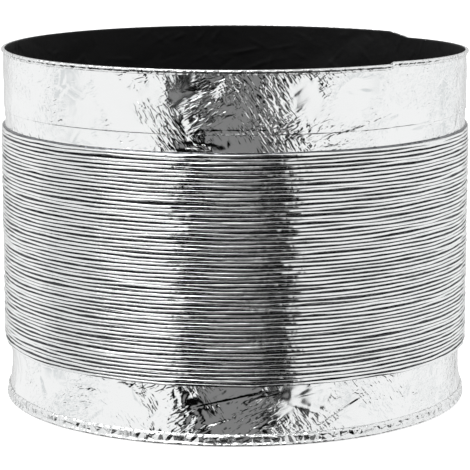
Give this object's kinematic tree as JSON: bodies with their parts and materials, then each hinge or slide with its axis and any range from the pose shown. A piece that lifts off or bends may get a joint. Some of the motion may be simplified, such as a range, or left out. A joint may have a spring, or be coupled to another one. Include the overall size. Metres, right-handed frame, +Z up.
{
  "type": "flexible air duct",
  "caption": "Round foil-skinned flexible air duct with a dark inner liner on a spring wire, pushed together to its shortest length between two flat cuffs.",
  "frame": {"origin": "centre of the bottom rim, on the plane that the duct stands on", "axes": "+Z up the duct's axis to the top rim; +X is the side that the lower bend turns towards"},
  "size_m": [0.258, 0.258, 0.193],
  "materials": {
    "duct_foil": "bright crinkled aluminium-faced laminate",
    "hem_foil": "bright folded aluminium-faced laminate",
    "liner_film": "matt black film",
    "spring_wire": "drawn spring steel wire"
  },
  "bodies": {
    "bottom_end": {"bottom_hem": "hem_foil", "bottom_rim_wire": "spring_wire", "bottom_cuff_foil": "duct_foil", "bottom_cuff_liner": "liner_film"},
    "section_01": {"outer_foil_01": "duct_foil", "wire_turns_01": "spring_wire", "inner_liner_01": "liner_film"},
    "section_02": {"outer_foil_02": "duct_foil", "wire_turns_02": "spring_wire", "inner_liner_02": "liner_film"},
    "section_03": {"outer_foil_03": "duct_foil", "wire_turns_03": "spring_wire", "inner_liner_03": "liner_film"},
    "section_04": {"outer_foil_04": "duct_foil", "wire_turns_04": "spring_wire", "inner_liner_04": "liner_film"},
    "section_05": {"outer_foil_05": "duct_foil", "wire_turns_05": "spring_wire", "inner_liner_05": "liner_film"},
    "section_06": {"outer_foil_06": "duct_foil", "wire_turns_06": "spring_wire", "inner_liner_06": "liner_film"},
    "section_07": {"outer_foil_07": "duct_foil", "wire_turns_07": "spring_wire", "inner_liner_07": "liner_film"},
    "section_08": {"outer_foil_08": "duct_foil", "wire_turns_08": "spring_wire", "inner_liner_08": "liner_film"},
    "section_09": {"outer_foil_09": "duct_foil", "wire_turns_09": "spring_wire", "inner_liner_09": "liner_film"},
    "section_10": {"outer_foil_10": "duct_foil", "wire_turns_10": "spring_wire", "inner_liner_10": "liner_film"},
    "section_11": {"outer_foil_11": "duct_foil", "wire_turns_11": "spring_wire", "inner_liner_11": "liner_film"},
    "section_12": {"outer_foil_12": "duct_foil", "wire_turns_12": "spring_wire", "inner_liner_12": "liner_film"},
    "section_13": {"outer_foil_13": "duct_foil", "wire_turns_13": "spring_wire", "inner_liner_13": "liner_film"},
    "section_14": {"outer_foil_14": "duct_foil", "wire_turns_14": "spring_wire", "inner_liner_14": "liner_film"},
    "top_end": {"outer_foil_15": "duct_foil", "wire_turns_15": "spring_wire", "inner_liner_15": "liner_film", "top_cuff_foil": "duct_foil", "top_cuff_liner": "liner_film", "top_rim_wire": "spring_wire", "top_hem": "hem_foil"}
  },
  "joints": [
    {"name": "lower_bend_1", "type": "hinge", "parent": "bottom_end", "child": "section_01", "pos_m": [0.129, 0, 0.031], "axis": [0, 1, 0], "range_deg": [0, 30]},
    {"name": "lower_bend_2", "type": "hinge", "parent": "section_01", "child": "section_02", "pos_m": [0.129, 0, 0.039], "axis": [0, 1, 0], "range_deg": [0, 30]},
    {"name": "lower_bend_3", "type": "hinge", "parent": "section_02", "child": "section_03", "pos_m": [0.129, 0, 0.047], "axis": [0, 1, 0], "range_deg": [0, 30]},
    {"name": "stretch_1", "type": "slide", "parent": "section_03", "child": "section_04", "axis": [0, 0, 1], "range_m": [0, 0.144]},
    {"name": "stretch_2", "type": "slide", "parent": "section_04", "child": "section_05", "axis": [0, 0, 1], "range_m": [0, 0.144]},
    {"name": "stretch_3", "type": "slide", "parent": "section_05", "child": "section_06", "axis": [0, 0, 1], "range_m": [0, 0.144]},
    {"name": "stretch_4", "type": "slide", "parent": "section_06", "child": "section_07", "axis": [0, 0, 1], "range_m": [0, 0.144]},
    {"name": "stretch_5", "type": "slide", "parent": "section_07", "child": "section_08", "axis": [0, 0, 1], "range_m": [0, 0.144]},
    {"name": "stretch_6", "type": "slide", "parent": "section_08", "child": "section_09", "axis": [0, 0, 1], "range_m": [0, 0.144]},
    {"name": "stretch_7", "type": "slide", "parent": "section_09", "child": "section_10", "axis": [0, 0, 1], "range_m": [0, 0.144]},
    {"name": "stretch_8", "type": "slide", "parent": "section_10", "child": "section_11", "axis": [0, 0, 1], "range_m": [0, 0.144]},
    {"name": "stretch_9", "type": "slide", "parent": "section_11", "child": "section_12", "axis": [0, 0, 1], "range_m": [0, 0.144]},
    {"name": "upper_bend_1", "type": "hinge", "parent": "section_12", "child": "section_13", "pos_m": [-0.129, 0, 0.127], "axis": [0, -1, 0], "range_deg": [0, 30]},
    {"name": "upper_bend_2", "type": "hinge", "parent": "section_13", "child": "section_14", "pos_m": [-0.129, 0, 0.135], "axis": [0, -1, 0], "range_deg": [0, 30]},
    {"name": "upper_bend_3", "type": "hinge", "parent": "section_14", "child": "top_end", "pos_m": [-0.129, 0, 0.143], "axis": [0, -1, 0], "range_deg": [0, 30]}
  ],
  "couplings": [
    {"joint": "lower_bend_2", "follows": "lower_bend_1", "ratio": 1},
    {"joint": "lower_bend_3", "follows": "lower_bend_1", "ratio": 1},
    {"joint": "stretch_2", "follows": "stretch_1", "ratio": 1},
    {"joint": "stretch_3", "follows": "stretch_1", "ratio": 1},
    {"joint": "stretch_4", "follows": "stretch_1", "ratio": 1},
    {"joint": "stretch_5", "follows": "stretch_1", "ratio": 1},
    {"joint": "stretch_6", "follows": "stretch_1", "ratio": 1},
    {"joint": "stretch_7", "follows": "stretch_1", "ratio": 1},
    {"joint": "stretch_8", "follows": "stretch_1", "ratio": 1},
    {"joint": "stretch_9", "follows": "stretch_1", "ratio": 1},
    {"joint": "upper_bend_2", "follows": "upper_bend_1", "ratio": 1},
    {"joint": "upper_bend_3", "follows": "upper_bend_1", "ratio": 1}
  ]
}
